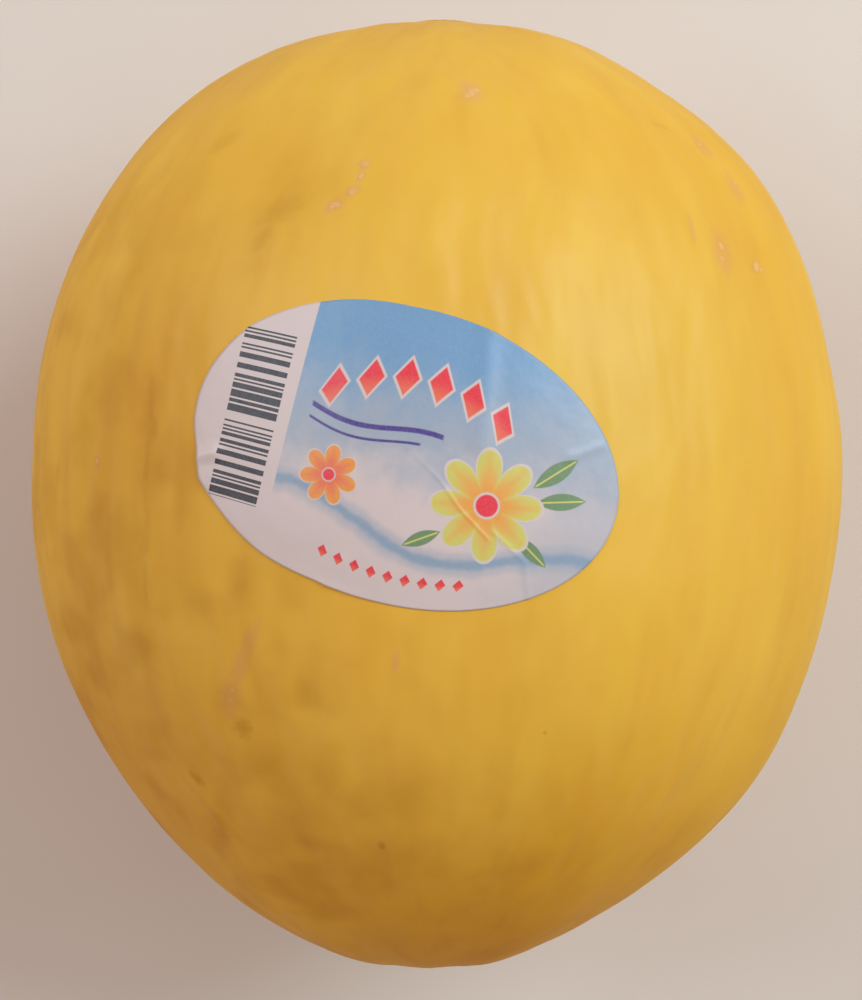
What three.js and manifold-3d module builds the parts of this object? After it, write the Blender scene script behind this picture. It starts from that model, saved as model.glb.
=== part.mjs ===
/*
 * Honeydew melon with an oval fruit sticker.
 *
 * Millimetres, +Z up. The melon lies on its side on the plane z = 0, with its blossom end
 * toward +Y, its stem end toward -Y and the sticker on top. The origin is on that plane,
 * under the middle of the object's bounding box.
 *
 * The rind is one solid: a smooth star-shaped form around the middle of the fruit, with the
 * corky blossom scar and the dry stub of the stalk grown onto its two ends, and a small flat
 * where it rests. The sticker is a thin oval sheet laid over the rind.
 */

import * as THREE from "three";
import { mergeVertices } from "three/addons/utils/BufferGeometryUtils.js";
import Module from "manifold-3d";

const wasm = await Module();
wasm.setup();

// ---------------------------------------------------------------- driving dimensions (mm)

// The rind as an ellipsoid, measured from the middle of the fruit.
const HALF_WIDTH = 70;
const HALF_LENGTH = 81.8;
const HALF_HEIGHT = 69.5;

// The blossom half is fuller than the ellipsoid and the stem half is slimmer.
const SHOULDER = 0.035;
const TAPER = 0.023;

// Faint ribs that run from end to end and show most near the ends.
const RIB_COUNT = 10;
const RIB_HEIGHT = 0.3;
const RIB_TURN = 34;

// Uneven growth: low swellings and shallow flats. The longitude runs from the top toward
// +X, the latitude from the waist toward the blossom end, and the reach is the angle over
// which a swelling fades, all in degrees. The height is in mm.
const SWELLINGS = [
  { longitude: 80, latitude: 18, reach: 10, height: -0.7 },
  { longitude: 80, latitude: 58, reach: 10, height: -1.6 },
  { longitude: 75, latitude: 78, reach: 7, height: -0.7 },
  { longitude: -80, latitude: 42, reach: 10, height: -0.2 },
  { longitude: -80, latitude: -24, reach: 12, height: 0.3 },
  { longitude: -70, latitude: -80, reach: 7, height: 1.4 },
  { longitude: 80, latitude: -68, reach: 8, height: -0.8 },
  { longitude: 80, latitude: -42, reach: 10, height: 1.0 },
  { longitude: 170, latitude: 35, reach: 22, height: -0.7 },
  { longitude: -140, latitude: -10, reach: 18, height: 0.6 },
  { longitude: 80, latitude: 1, reach: 7, height: 0.3 },
  { longitude: 77, latitude: 34, reach: 7, height: -0.3 },
  { longitude: 71, latitude: 49, reach: 7, height: 0.4 },
  { longitude: 68, latitude: 65, reach: 7, height: -0.3 },
  { longitude: -39, latitude: 79, reach: 7, height: -0.5 },
  { longitude: -80, latitude: 20, reach: 7, height: 0.3 },
  { longitude: -65, latitude: -77, reach: 7, height: -0.3 },
  { longitude: 11, latitude: -79, reach: 7, height: 0.7 },
  { longitude: 71, latitude: -54, reach: 7, height: -0.4 },
  { longitude: 74, latitude: -39, reach: 7, height: 0.3 },
  { longitude: 79, latitude: -7, reach: 7, height: -0.5 },
  { longitude: 50, latitude: 72, reach: 6, height: 0.7 },
  { longitude: 30, latitude: 79, reach: 4, height: -0.35 },
  { longitude: 5, latitude: 79, reach: 7, height: -0.2 },
  { longitude: 79, latitude: 12, reach: 5, height: 0.5 },
  { longitude: -64, latitude: -64, reach: 5, height: 0.4 },
  { longitude: -28, latitude: -78, reach: 5, height: -0.1 },
  { longitude: -47, latitude: -74, reach: 5, height: 0.3 },
  { longitude: 76, latitude: -34, reach: 9, height: 0.25 },
  { longitude: 47, latitude: -74, reach: 6, height: 0.4 },
  { longitude: 72, latitude: -53, reach: 6, height: 0.3 },
  { longitude: -75, latitude: 41, reach: 6, height: -0.12 },
];

// The shallow hollow at the stem end, and the dry stub of the stalk standing in it.
const HOLLOW_DEPTH = 2.4;
const HOLLOW_RADIUS = 8.5;
const STUB_RADIUS = 4.8;
const STUB_HEIGHT = 1.7;

// The corky blossom scar.
const SCAR_RADIUS = 6.6;
const SCAR_HEIGHT = 0.9;

// How far both plugs reach down into the rind before they are joined to it.
const ROOT_DEPTH = 5;

// How the melon lies: the blossom end lifted, and turned slightly toward +X.
const PITCH = 3;
const YAW = -1;

// The depth of the flat that the melon's own weight gives it where it rests.
const FLAT_DEPTH = 1;

// The sticker: its oval measured along the rind, its place and its turn on the rind.
const STICKER_LENGTH = 67;
const STICKER_WIDTH = 43.5;
const STICKER_THICKNESS = 0.3;
const STICKER_GAP = 0.3;
const STICKER_LONGITUDE = -4.6;
const STICKER_LATITUDE = 7;
const STICKER_TURN = -14.3;

// Fineness of the facets.
const RIND_SECTORS = 64;
const RIND_RINGS = 24;
const PLUG_SECTORS = 24;
const STICKER_SECTORS = 48;
const STICKER_RINGS = 5;

const radians = THREE.MathUtils.degToRad;

// -------------------------------------------------------------------- the form of the rind

// The unit vector at a longitude and latitude on the fruit, in degrees.
function directionAt(longitude, latitude) {
  const lon = radians(longitude);
  const lat = radians(latitude);
  return new THREE.Vector3(
    Math.cos(lat) * Math.sin(lon),
    Math.sin(lat),
    Math.cos(lat) * Math.cos(lon),
  );
}

// The distance from the middle of the fruit to the rind, in a direction given as a unit
// vector in the fruit's own frame.
function rindRadius(direction) {
  const { x, y, z } = direction;
  const aroundAxis = Math.hypot(x, z);

  const ellipsoid = 1 / Math.hypot(x / HALF_WIDTH, y / HALF_LENGTH, z / HALF_HEIGHT);
  const quarter = 4 * y * y * aroundAxis * aroundAxis;
  let radius = ellipsoid * (1 + (y > 0 ? SHOULDER : -TAPER) * quarter);

  const longitude = Math.atan2(x, z);
  const ribs = Math.cos(RIB_COUNT * longitude + radians(RIB_TURN));
  radius += RIB_HEIGHT * ribs * 2 * y * y * aroundAxis;

  for (const { longitude: lon, latitude: lat, reach, height } of SWELLINGS) {
    const apart = direction.distanceTo(directionAt(lon, lat)) / radians(reach);
    radius += height * Math.exp(-apart * apart / 2);
  }

  if (y < 0) {
    const fromAxis = HALF_LENGTH * aroundAxis / HOLLOW_RADIUS;
    radius -= HOLLOW_DEPTH * Math.exp(-fromAxis * fromAxis);
  }
  return radius;
}

// ------------------------------------------------------------------------- solid geometry

// A closed geometry as a solid: shared vertices are merged, and the triangles that shrink
// to nothing where a lathe meets its axis are left out.
function toSolid(geometry) {
  const bare = geometry.clone();
  bare.deleteAttribute("normal");
  bare.deleteAttribute("uv");
  const merged = mergeVertices(bare, 1e-4);
  const corners = merged.index.array;
  const triangles = [];
  for (let i = 0; i < corners.length; i += 3) {
    const [a, b, c] = corners.slice(i, i + 3);
    if (a !== b && b !== c && c !== a) {
      triangles.push(a, b, c);
    }
  }
  return new wasm.Manifold(new wasm.Mesh({
    numProp: 3,
    vertProperties: merged.attributes.position.array,
    triVerts: Uint32Array.from(triangles),
  }));
}

// A solid back as a geometry with flat-shaded normals.
function toGeometry(solid) {
  const { vertProperties, triVerts } = solid.getMesh();
  const geometry = new THREE.BufferGeometry();
  geometry.setAttribute("position", new THREE.BufferAttribute(vertProperties, 3));
  geometry.setIndex(new THREE.BufferAttribute(triVerts, 1));
  geometry.computeVertexNormals();
  return geometry;
}

// Moves every vertex of a geometry by a function of its position.
function reshape(geometry, move) {
  const position = geometry.attributes.position;
  const point = new THREE.Vector3();
  for (let i = 0; i < position.count; i++) {
    point.fromBufferAttribute(position, i);
    move(point);
    position.setXYZ(i, point.x, point.y, point.z);
  }
  return geometry;
}

// Turns a geometry from the fruit's own frame to the way the melon lies.
function layDown(geometry) {
  return geometry.rotateX(radians(PITCH)).rotateZ(radians(YAW));
}

// ------------------------------------------------------------------------------- the melon

// The rind: a unit sphere turned on the lathe, with closer rings near both ends, and each
// vertex pushed out to the form.
function rindGeometry() {
  const profile = [];
  for (let ring = -RIND_RINGS; ring <= RIND_RINGS; ring++) {
    const share = 1 - Math.abs(ring) / RIND_RINGS;
    const fromPole = 90 * (1 - Math.abs(ring) / RIND_RINGS) * (0.65 + 0.35 * share);
    const latitude = radians(90 - fromPole) * Math.sign(ring);
    profile.push(new THREE.Vector2(Math.cos(latitude), Math.sin(latitude)));
  }
  profile[0].set(0, -1);
  profile[profile.length - 1].set(0, 1);
  const sphere = new THREE.LatheGeometry(profile, RIND_SECTORS);
  return reshape(sphere, (point) => {
    point.normalize().multiplyScalar(rindRadius(point));
  });
}

// The blossom scar: a low domed button with a rounded rim.
function blossomScarGeometry() {
  const pole = rindRadius(new THREE.Vector3(0, 1, 0));
  const r = SCAR_RADIUS;
  const h = SCAR_HEIGHT;
  const profile = [
    new THREE.Vector2(0, -ROOT_DEPTH),
    new THREE.Vector2(r * 0.9, -ROOT_DEPTH),
    new THREE.Vector2(r, -0.4),
    new THREE.Vector2(r * 0.96, h * 0.3),
    new THREE.Vector2(r * 0.82, h * 0.75),
    new THREE.Vector2(r * 0.5, h),
    new THREE.Vector2(r * 0.2, h * 0.85),
    new THREE.Vector2(0, h * 0.8),
  ];
  return new THREE.LatheGeometry(profile, PLUG_SECTORS).translate(0, pole, 0);
}

// The dry stub of the stalk: a short post with a worn rim and a sunken middle.
function stemStubGeometry() {
  const pole = rindRadius(new THREE.Vector3(0, -1, 0));
  const r = STUB_RADIUS;
  const h = STUB_HEIGHT;
  const profile = [
    new THREE.Vector2(0, -h + 0.5),
    new THREE.Vector2(r * 0.45, -h + 0.35),
    new THREE.Vector2(r * 0.75, -h),
    new THREE.Vector2(r * 0.92, -h + 0.4),
    new THREE.Vector2(r, 0),
    new THREE.Vector2(r * 1.1, ROOT_DEPTH),
    new THREE.Vector2(0, ROOT_DEPTH),
  ];
  return new THREE.LatheGeometry(profile, PLUG_SECTORS).translate(0, -pole, 0);
}

const fruit = toSolid(layDown(rindGeometry()))
  .add(toSolid(layDown(blossomScarGeometry())))
  .add(toSolid(layDown(stemStubGeometry())));

// The ground: everything below the resting plane is cut away.
const lowest = fruit.boundingBox().min[2];
const groundLevel = lowest + FLAT_DEPTH;
const ground = new THREE.BoxGeometry(4 * HALF_WIDTH, 4 * HALF_LENGTH, 2 * HALF_HEIGHT)
  .translate(0, 0, groundLevel - HALF_HEIGHT);
const melonGeometry = toGeometry(fruit.subtract(toSolid(ground)));

// ----------------------------------------------------------------------------- the sticker

// A flat disc turned on the lathe, as a closed sheet with rings on both faces. The disc has
// a radius of 1, and its height runs from 0 underneath to 1 on top.
function discGeometry() {
  const profile = [];
  for (let ring = 0; ring <= STICKER_RINGS; ring++) {
    profile.push(new THREE.Vector2(ring / STICKER_RINGS, 0));
  }
  for (let ring = STICKER_RINGS; ring >= 0; ring--) {
    profile.push(new THREE.Vector2(ring / STICKER_RINGS, 1));
  }
  return new THREE.LatheGeometry(profile, STICKER_SECTORS);
}

// The disc stretched to the oval and laid over the rind: a point of the oval goes as far
// along the rind, from the middle of the sticker, as it is from the middle of the oval.
function stickerGeometry() {
  const middle = directionAt(STICKER_LONGITUDE, STICKER_LATITUDE);
  const east = new THREE.Vector3(0, 1, 0).cross(middle).normalize();
  const lengthwise = east.applyAxisAngle(middle, radians(STICKER_TURN));
  const crosswise = middle.clone().cross(lengthwise);
  const middleRadius = rindRadius(middle);
  const direction = new THREE.Vector3();
  return reshape(discGeometry(), (point) => {
    const along = point.x * STICKER_LENGTH / 2;
    const across = -point.z * STICKER_WIDTH / 2;
    const distance = Math.hypot(along, across);
    const angle = distance / middleRadius;
    const sine = distance > 0 ? Math.sin(angle) / distance : 0;
    direction.copy(middle).multiplyScalar(Math.cos(angle));
    direction.addScaledVector(lengthwise, along * sine);
    direction.addScaledVector(crosswise, across * sine);
    const height = STICKER_GAP + point.y * STICKER_THICKNESS;
    point.copy(direction).multiplyScalar(rindRadius(direction) + height);
  });
}

// ------------------------------------------------------------------------------ the object

const melon = new THREE.Mesh(
  melonGeometry,
  new THREE.MeshStandardMaterial({ color: 0xd9a544, roughness: 0.42, metalness: 0 }),
);
melon.name = "melon";

const sticker = new THREE.Mesh(
  layDown(stickerGeometry()),
  new THREE.MeshStandardMaterial({ color: 0xcdb9bf, roughness: 0.38, metalness: 0 }),
);
sticker.name = "sticker";

const object = new THREE.Group();
object.add(melon, sticker);

const box = new THREE.Box3().setFromObject(object);
const centre = box.getCenter(new THREE.Vector3());
object.position.set(-centre.x, -centre.y, -groundLevel);

export default object;
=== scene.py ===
# %% [markdown]
# # A honeydew melon with an oval sticker
# This lesson dresses a plain, exact model of a melon that was made in another program.
# That model is the frame: it says how large everything is and where it is. Here the melon
# gets its smooth swelling form, its waxy golden rind with all its small scars, its two
# corky ends and its printed sticker. Read it cell by cell, from top to bottom.

import math

import bpy
import numpy as np
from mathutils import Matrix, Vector
from mathutils.bvhtree import BVHTree


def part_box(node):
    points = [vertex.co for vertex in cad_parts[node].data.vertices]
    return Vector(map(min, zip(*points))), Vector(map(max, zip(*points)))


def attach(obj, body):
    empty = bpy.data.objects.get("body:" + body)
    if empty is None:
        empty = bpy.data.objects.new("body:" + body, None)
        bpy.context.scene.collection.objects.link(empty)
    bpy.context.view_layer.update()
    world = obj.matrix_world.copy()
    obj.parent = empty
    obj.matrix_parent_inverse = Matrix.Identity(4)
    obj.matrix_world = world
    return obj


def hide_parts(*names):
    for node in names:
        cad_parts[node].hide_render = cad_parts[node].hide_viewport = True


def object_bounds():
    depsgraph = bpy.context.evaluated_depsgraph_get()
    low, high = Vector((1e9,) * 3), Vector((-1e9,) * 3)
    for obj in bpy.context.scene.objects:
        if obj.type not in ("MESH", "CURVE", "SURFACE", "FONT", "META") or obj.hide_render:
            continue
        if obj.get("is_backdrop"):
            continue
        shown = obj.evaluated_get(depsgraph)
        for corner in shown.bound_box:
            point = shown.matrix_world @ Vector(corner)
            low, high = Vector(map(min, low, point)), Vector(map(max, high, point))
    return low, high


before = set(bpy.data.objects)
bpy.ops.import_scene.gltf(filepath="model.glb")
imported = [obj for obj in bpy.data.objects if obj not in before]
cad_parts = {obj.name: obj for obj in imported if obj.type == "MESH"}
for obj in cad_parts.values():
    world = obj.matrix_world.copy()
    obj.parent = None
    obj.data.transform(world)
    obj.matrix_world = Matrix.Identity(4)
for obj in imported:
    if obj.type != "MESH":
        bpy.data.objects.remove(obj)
FRAME_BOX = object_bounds()
MELON_LOW, MELON_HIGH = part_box("melon")
MM = 0.001
scene = bpy.context.scene

# The fruit grew outward from one point. Its swellings and its flat are lopsided, so that
# point isn't quite the middle of its box. The shift from one to the other is in mm.
GROWTH_SHIFT = Vector((0.06, -0.26, -0.6))
MIDDLE = (MELON_LOW + MELON_HIGH) / 2 + GROWTH_SHIFT * MM
print("the melon's box in mm:", [round(side / MM, 1) for side in MELON_HIGH - MELON_LOW])

# %% [markdown]
# ## Formulas as nodes
# The rind's form and its colours are both written as formulas. Blender holds a formula as
# a web of nodes, and a long one takes hundreds of clicks. In a script it could be written
# node by node too, but then nobody could read it. A small helper is better: a `Wire`
# stands for the output of a node, and adding or multiplying two wires adds the Math node
# that does it. The same helper serves Geometry Nodes and materials.


# %% A wire that can be added and multiplied
class Wire:
    """The output of one node. Arithmetic on it adds Math nodes to the same board."""

    def __init__(self, board, socket):
        self.board = board
        self.socket = socket

    def __add__(self, other):
        return self.board.math("ADD", self, other)

    def __sub__(self, other):
        return self.board.math("SUBTRACT", self, other)

    def __rsub__(self, other):
        return self.board.math("SUBTRACT", other, self)

    def __mul__(self, other):
        return self.board.math("MULTIPLY", self, other)

    def __truediv__(self, other):
        return self.board.math("DIVIDE", self, other)

    __radd__ = __add__
    __rmul__ = __mul__


class Board:
    """A node tree to write formulas on."""

    def __init__(self, tree):
        self.tree = tree

    def plug(self, socket, value):
        if isinstance(value, Wire):
            self.tree.links.new(value.socket, socket)
        else:
            socket.default_value = value

    def node(self, kind, inputs=None, **settings):
        node = self.tree.nodes.new(kind)
        for name, value in settings.items():
            setattr(node, name, value)
        for key, value in (inputs or {}).items():
            self.plug(node.inputs[key], value)
        return node

    def out(self, node, key=0):
        return Wire(self, node.outputs[key])

    def math(self, operation, *values):
        return self.out(self.node("ShaderNodeMath", dict(enumerate(values)), operation=operation))

    def vector(self, operation, *values):
        node = self.node("ShaderNodeVectorMath", dict(enumerate(values)), operation=operation)
        single = operation in ("DOT_PRODUCT", "LENGTH", "DISTANCE")
        return self.out(node, "Value" if single else "Vector")

    def scaled(self, vector, factor):
        node = self.node("ShaderNodeVectorMath", {0: vector, "Scale": factor}, operation="SCALE")
        return self.out(node, "Vector")

    def combine(self, x, y, z):
        return self.out(self.node("ShaderNodeCombineXYZ", {0: x, 1: y, 2: z}))

    def separate(self, vector):
        node = self.node("ShaderNodeSeparateXYZ", {0: vector})
        return [self.out(node, axis) for axis in range(3)]

    def sqrt(self, value):
        return self.math("SQRT", value)

    def length(self, *parts):
        return self.sqrt(sum((part * part for part in parts[1:]), parts[0] * parts[0]))

    def step(self, value, start, end, low=0.0, high=1.0):
        """A smooth step: low where value is at start, high where it is at end."""
        inputs = {"Value": value, "From Min": start, "From Max": end, "To Min": low, "To Max": high}
        node = self.node("ShaderNodeMapRange", inputs, interpolation_type="SMOOTHSTEP")
        return self.out(node, "Result")

    def attribute(self, name, key="Vector"):
        """What is stored on the points under a name, for a material to read."""
        return self.out(self.node("ShaderNodeAttribute", attribute_name=name), key)

    def noise(self, vector, scale, detail=2.0, roughness=0.5, distortion=0.0):
        inputs = {"Vector": vector, "Scale": scale, "Detail": detail, "Roughness": roughness}
        inputs["Distortion"] = distortion
        return self.out(self.node("ShaderNodeTexNoise", inputs))


def declare(tree, inputs=(), outputs=()):
    """Gives a tree its named inputs, as (name, kind, default), and outputs, as (name, kind)."""
    for name, kind, value in inputs:
        socket = tree.interface.new_socket(name, in_out="INPUT", socket_type="NodeSocket" + kind)
        if value is not None:
            socket.default_value = value
    for name, kind in outputs:
        tree.interface.new_socket(name, in_out="OUTPUT", socket_type="NodeSocket" + kind)


print("the formula helper is ready")

# %% [markdown]
# ## A swelling
# No melon is an exact ellipsoid: it has low swellings and shallow flats where it grew
# against the ground or its neighbours. Each could be sculpted by hand, but a sculpted bump
# can't be moved or changed afterwards. As a node group, a swelling is one formula with
# five numbers, and the melon uses the same group many times.


# %% The swelling as a node group
def swelling_group():
    tree = bpy.data.node_groups.new("Swelling", "GeometryNodeTree")
    numbers = [(name, "Float", 0.0) for name in ("Longitude", "Latitude", "Reach", "Height")]
    declare(tree, [("Direction", "Vector", None)] + numbers, [("Rise", "Float")])
    board = Board(tree)
    given = board.node("NodeGroupInput")
    longitude = board.math("RADIANS", board.out(given, "Longitude"))
    latitude = board.math("RADIANS", board.out(given, "Latitude"))
    level = board.math("COSINE", latitude)
    middle = board.combine(
        level * board.math("SINE", longitude),
        board.math("SINE", latitude),
        level * board.math("COSINE", longitude),
    )
    distance = board.vector("DISTANCE", board.out(given, "Direction"), middle)
    apart = distance / board.math("RADIANS", board.out(given, "Reach"))
    rise = board.out(given, "Height") * board.math("EXPONENT", apart * apart * -0.5)
    board.node("NodeGroupOutput", {"Rise": rise})
    return tree


SWELLING = swelling_group()
print("one swelling takes", len(SWELLING.nodes), "nodes")

# %% [markdown]
# ## Ovals and lines on the fruit
# A bruise, a scar and the sticker are each an oval laid on the rind. Two arrows lie along
# and across the oval, and a dot product with each says how far out a point is.
#
# The skin also has long faint bands, and finer wrinkles that sway a little, and both run
# from end to end like the lines of a globe. An image of them would have a seam. Noise that
# is read from the direction to each point, stretched along those lines, closes around the
# fruit by itself. The form is raised by these lines, and the colours and the wax follow
# them, so they are written once for both.


# %% Ovals on the fruit
FRUIT_RADIUS = 72 * MM


def fruit_direction(longitude, latitude):
    lon, lat = math.radians(longitude), math.radians(latitude)
    return Vector((math.cos(lat) * math.sin(lon), math.sin(lat), math.cos(lat) * math.cos(lon)))


def oval_arrows(longitude, latitude, length, width, turn):
    """The middle of an oval mark, and its two arrows, 1 long at its edge."""
    middle = fruit_direction(longitude, latitude)
    east = Vector((0, 1, 0)).cross(middle).normalized()
    north = middle.cross(east)
    lean = math.radians(turn)
    along = north * math.cos(lean) + east * math.sin(lean)
    across = middle.cross(along)
    half_length, half_width = length * MM / 2, width * MM / 2
    return middle, along / (half_length / FRUIT_RADIUS), across / (half_width / FRUIT_RADIUS)


def nearest_mark(board, fruit, marks):
    """0 in the middle of the nearest mark and 1 at its edge. Each mark counts on the
    opposite side of the fruit too, where it stands for one more."""
    nearest = None
    for mark in marks:
        _, along, across = oval_arrows(*mark)
        out_along = board.vector("DOT_PRODUCT", fruit, along)
        out_across = board.vector("DOT_PRODUCT", fruit, across)
        squared = board.math("MULTIPLY_ADD", out_along, out_along, out_across * out_across)
        nearest = squared if nearest is None else board.math("MINIMUM", nearest, squared)
    return board.sqrt(nearest)


def mark_mask(board, nearest, fray, edge):
    return board.step(nearest + fray, 1.0 + edge, 1.0 - edge)


# The sticker lies at a longitude and latitude, turned from the fruit's width. Sizes in mm.
STICKER_HALF_LENGTH = 33.5
STICKER_HALF_WIDTH = 21.75
STICKER_PLACE = (-4.6, 7.0)
STICKER_TURN = -14.3
STICKER_OVAL = (*STICKER_PLACE, 2 * STICKER_HALF_LENGTH, 2 * STICKER_HALF_WIDTH, 90 - STICKER_TURN)
print("a mark 10 mm long reaches", round(10 * MM / FRUIT_RADIUS, 3), "radians")


# %% Lines that run from end to end
class SkinLines:
    """Noise that is fine around the fruit and long from end to end."""

    def __init__(self, board, fruit):
        self.board = board
        self.x, self.y, self.z = board.separate(fruit)
        self.from_axis = board.math("MAXIMUM", board.length(self.x, self.z), 0.01)
        self.evened = board.math("POWER", self.from_axis, -0.6)
        self.latitude = board.math("ARCSINE", self.y)

    def place(self, around_scale, along_scale, shift):
        return self.board.combine(
            self.x * self.evened * around_scale + shift,
            self.z * self.evened * around_scale,
            self.latitude * along_scale,
        )

    def bands(self):
        return self.board.noise(self.place(7.0, 1.3, 0.0), 1.0, 2.0, 0.5)

    def wrinkles(self):
        sway = self.board.math("SINE", self.latitude * 13.0 + self.x * 6.0) * 0.22 + 3.0
        return self.board.noise(self.place(13.5, 5.0, sway), 1.0, 1.0, 0.5)

    def ripples(self, wrinkles):
        """Wrinkles above and below 0. They are deepest on top and at the blossom end, less
        deep at the stem end, and faint on the flanks and underneath."""
        ends = self.board.math("MAXIMUM", self.y, self.y * -0.55)
        share = self.board.step(self.board.math("MAXIMUM", self.z, ends), 0.3, 0.85, 0.25, 0.85)
        return (wrinkles - 0.5) * share


print("the skin's lines are ready")

# %% [markdown]
# ## The form of the melon
# The rind has one rule: in every direction from the middle of the fruit it lies at one
# distance. So the whole body can be a sphere whose every point is pushed out to the right
# distance. That could be done with Python over the vertices, but Geometry Nodes shows the
# rule at work and keeps each size as a named input. The sphere's poles are put on the Y
# axis, where the two ends of the fruit are, so that its rows of faces run like ribs.
#
# At the end the form is laid down the way the frame's melon lies, and pressed flat where
# its weight rests on the ground.

# %% The numbers of the form
# longitude, latitude and reach in degrees, height in mm
SWELLINGS = [
    (80, 18, 10, -0.7),
    (80, 58, 10, -1.6),
    (75, 78, 7, -0.7),
    (-80, 42, 10, -0.2),
    (-80, -24, 12, 0.3),
    (-70, -80, 7, 1.4),
    (80, -68, 8, -0.8),
    (80, -42, 10, 1.0),
    (170, 35, 22, -0.7),
    (-140, -10, 18, 0.6),
    (80, 1, 7, 0.3),
    (77, 34, 7, -0.3),
    (71, 49, 7, 0.4),
    (68, 65, 7, -0.3),
    (-39, 79, 7, -0.5),
    (-80, 20, 7, 0.3),
    (-65, -77, 7, -0.3),
    (11, -79, 7, 0.7),
    (71, -54, 7, -0.4),
    (74, -39, 7, 0.3),
    (79, -7, 7, -0.5),
    (50, 72, 6, 0.7),
    (30, 79, 4, -0.35),
    (5, 79, 7, -0.2),
    (79, 12, 5, 0.5),
    (-64, -64, 5, 0.4),
    (-28, -78, 5, -0.1),
    (-47, -74, 5, 0.3),
    (76, -34, 9, 0.25),
    (47, -74, 6, 0.4),
    (72, -53, 6, 0.3),
    (-75, 41, 6, -0.12),
]
# The melon lies with its blossom end a little raised, and turned a little: degrees.
PITCH = 3.0
YAW = -1.0
FORM_SIZES = [
    ("Sectors", "Int", 400),
    ("Rings", "Int", 216),
    ("Half Width", "Float", 70 * MM),
    ("Half Length", "Float", 81.8 * MM),
    ("Half Height", "Float", 69.5 * MM),
    ("Shoulder", "Float", 0.035),
    ("Taper", "Float", 0.023),
    ("Rib Count", "Float", 10.0),
    ("Rib Height", "Float", 0.3 * MM),
    ("Rib Turn", "Float", 34.0),
    ("Nose Height", "Float", 0.65 * MM),
    ("Nose Radius", "Float", 6.4 * MM),
    ("Hollow Depth", "Float", 2.4 * MM),
    ("Hollow Radius", "Float", 8.5 * MM),
    ("Unevenness", "Float", 0.2 * MM),
    ("Seed", "Float", 4.0),
    ("Wrinkle Height", "Float", 0.5 * MM),
    ("Band Height", "Float", 0.24 * MM),
    ("Pitch", "Float", PITCH),
    ("Yaw", "Float", YAW),
    ("Flat Edge", "Float", 0.8 * MM),
    ("Middle", "Vector", MIDDLE),
    ("Ground", "Float", MELON_LOW.z),
    ("Rind", "Material", None),
]
print(len(SWELLINGS), "swellings and", len(FORM_SIZES), "named inputs")


# %% The distance from the middle to the rind
def rind_distance(board, size, direction):
    x, y, z = board.separate(direction)
    around = board.length(x, z)
    inverse = board.length(x / size("Half Width"), y / size("Half Length"), z / size("Half Height"))
    blossom_half = board.math("GREATER_THAN", y, 0.0)
    quarter = 4.0 * y * y * around * around
    fuller = blossom_half * (size("Shoulder") + size("Taper")) - size("Taper")
    distance = (1.0 + fuller * quarter) / inverse

    longitude = board.math("ARCTAN2", x, z)
    turn = board.math("RADIANS", size("Rib Turn"))
    ribs = board.math("COSINE", size("Rib Count") * longitude + turn)
    distance = distance + size("Rib Height") * ribs * 2.0 * y * y * around

    for row in SWELLINGS:
        inputs = {"Direction": direction}
        inputs.update(zip(("Longitude", "Latitude", "Reach"), row[:3]))
        inputs["Height"] = row[3] * MM
        bump = board.node("GeometryNodeGroup", node_tree=SWELLING)
        for name, value in inputs.items():
            board.plug(bump.inputs[name], value)
        distance = distance + board.out(bump)

    stretched = board.combine(x * 4.0, y * 1.6, z * 4.0)
    uneven = board.node(
        "ShaderNodeTexNoise",
        {"Vector": stretched, "W": size("Seed"), "Scale": 1.0, "Detail": 1.0},
        noise_dimensions="4D",
    )
    distance = distance + size("Unevenness") * (board.out(uneven) - 0.5) * 2.0

    # The lines fade out under the corky ends, and under the sticker, which bridges them.
    lines = SkinLines(board, direction)
    bare = board.step(lines.from_axis, 0.05, 0.14)
    bare = bare * board.step(nearest_mark(board, direction, [STICKER_OVAL]), 0.92, 1.12)
    distance = distance + size("Wrinkle Height") * lines.ripples(lines.wrinkles()) * bare
    distance = distance + size("Band Height") * (lines.bands() - 0.5) * bare

    from_axis = size("Half Length") * around / size("Hollow Radius")
    hollow = size("Hollow Depth") * board.math("EXPONENT", from_axis * from_axis * -1.0)
    on_nose = size("Half Length") * around / size("Nose Radius")
    on_nose = on_nose * on_nose
    nose = size("Nose Height") * board.math("EXPONENT", on_nose * on_nose * -1.0)
    return distance + blossom_half * nose - (1.0 - blossom_half) * hollow


print("the rule for the rind is written")


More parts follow.
